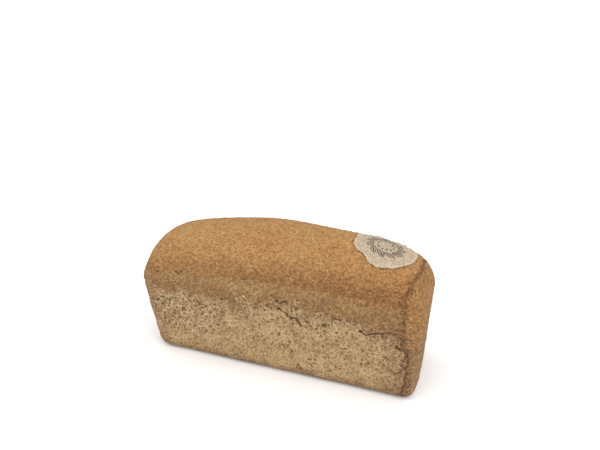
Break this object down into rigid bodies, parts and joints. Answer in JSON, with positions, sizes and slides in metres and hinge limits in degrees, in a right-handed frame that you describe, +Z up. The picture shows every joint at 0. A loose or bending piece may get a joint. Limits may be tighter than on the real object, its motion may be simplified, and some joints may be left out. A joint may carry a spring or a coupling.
{
  "type": "spelt bread",
  "caption": "Tall tin loaf of spelt bread with tapered pitted sides, a rounded crust that slopes to the ends, folds round each end and a thin disc of edible paper on top.",
  "frame": {"origin": "middle of the loaf's flat base", "axes": "+X along the loaf towards the end that carries the paper disc, +Y across to the back, +Z up"},
  "size_m": [0.2602, 0.1103, 0.1232],
  "materials": {
    "crust": "matt baked wholemeal crust, stands in for bread",
    "paper": "matt edible paper with a thin printed line ornament"
  },
  "bodies": {
    "root": {"loaf": "crust", "paper_disc": "paper"}
  },
  "joints": []
}
